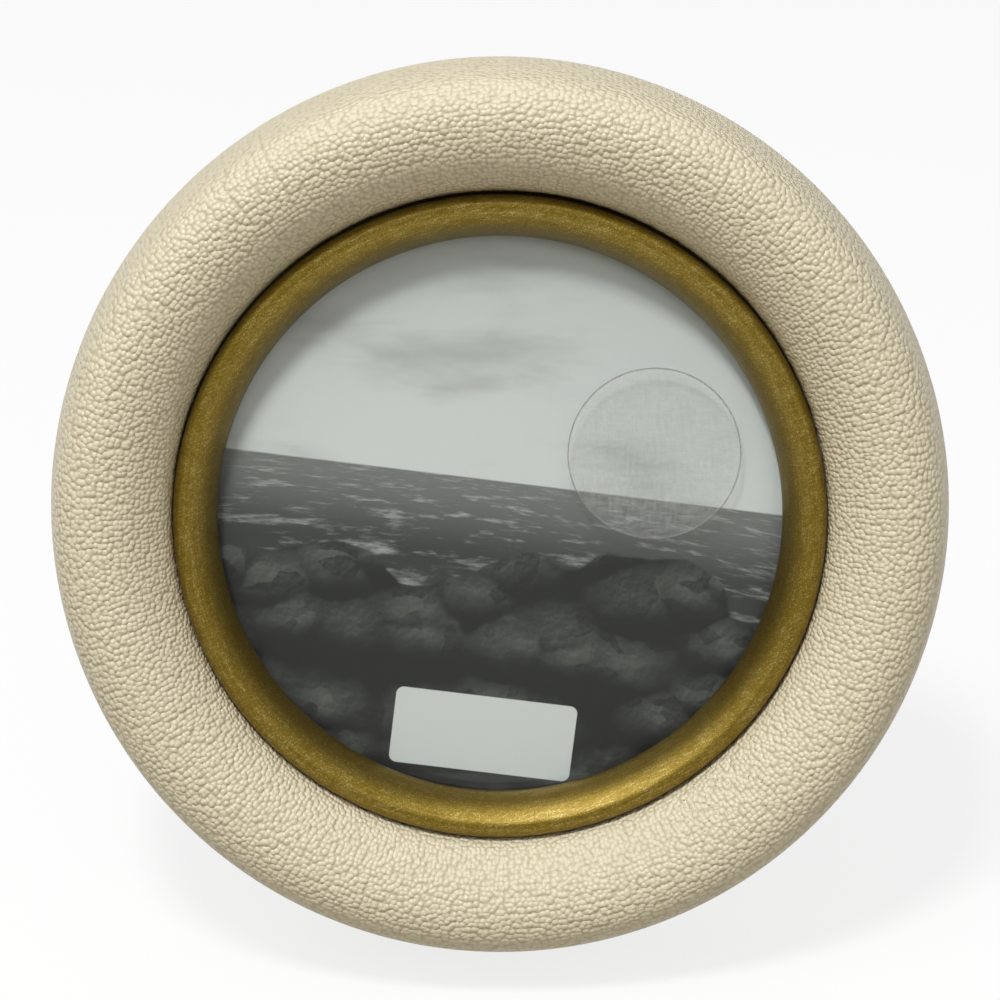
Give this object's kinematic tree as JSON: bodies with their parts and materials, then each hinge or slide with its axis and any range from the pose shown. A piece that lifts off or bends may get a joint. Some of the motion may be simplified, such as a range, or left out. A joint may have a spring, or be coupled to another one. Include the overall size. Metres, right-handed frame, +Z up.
{
  "type": "round photo frame",
  "caption": "Round photo frame with a padded-looking leather-wrapped ring, a gilt inner ring, glass over a print, turn buttons and a folding easel leg with a stop hinge.",
  "frame": {"origin": "on the floor, below the middle of the standing frame's box", "axes": "+X to the right seen from the front, +Z up, the picture faces -Y and the leg stands at +Y"},
  "size_m": [0.152, 0.0748, 0.1489],
  "materials": {
    "ring_wood": "matte",
    "cream_leather": "satin",
    "gilt_wood": "satin",
    "clear_glass": "polished",
    "clear_film": "gloss",
    "print_paper": "satin",
    "corrugated_card": "matte",
    "black_board": "matte",
    "hinge_steel": "satin",
    "rivet_steel": "satin",
    "button_steel": "satin",
    "screw_steel": "gloss"
  },
  "bodies": {
    "frame": {"core_ring": "ring_wood", "leather_wrap": "cream_leather", "gilt_ring": "gilt_wood", "glass_pane": "clear_glass", "clear_sticker": "clear_film", "picture_insert": "print_paper", "card_pad": "corrugated_card", "back_panel": "black_board", "button_screws": "screw_steel", "hinge_back_leaf": "hinge_steel", "hinge_pin": "hinge_steel", "panel_rivets": "rivet_steel"},
    "leg": {"easel_leg": "black_board", "hinge_leg_leaf": "hinge_steel", "leg_rivets": "rivet_steel"},
    "button_1": {"turn_button_1": "button_steel"},
    "button_2": {"turn_button_2": "button_steel"},
    "button_3": {"turn_button_3": "button_steel"},
    "button_4": {"turn_button_4": "button_steel"}
  },
  "joints": [
    {"name": "leg_fold", "type": "hinge", "parent": "frame", "child": "leg", "pos_m": [0, 0.01545, 0.09001], "axis": [-1, 0, 0], "range_deg": [0, 28.4]},
    {"name": "button_1_turn", "type": "hinge", "parent": "frame", "child": "button_1", "pos_m": [0.04409, 0.02025, 0.11474], "axis": [0, 0.9613, -0.2756], "range_deg": [-90, 90]},
    {"name": "button_2_turn", "type": "hinge", "parent": "frame", "child": "button_2", "pos_m": [-0.04409, 0.02025, 0.11474], "axis": [0, 0.9613, -0.2756], "range_deg": [-90, 90]},
    {"name": "button_3_turn", "type": "hinge", "parent": "frame", "child": "button_3", "pos_m": [-0.04409, -0.00405, 0.02998], "axis": [0, 0.9613, -0.2756], "range_deg": [-90, 90]},
    {"name": "button_4_turn", "type": "hinge", "parent": "frame", "child": "button_4", "pos_m": [0.04409, -0.00405, 0.02998], "axis": [0, 0.9613, -0.2756], "range_deg": [-90, 90]}
  ]
}
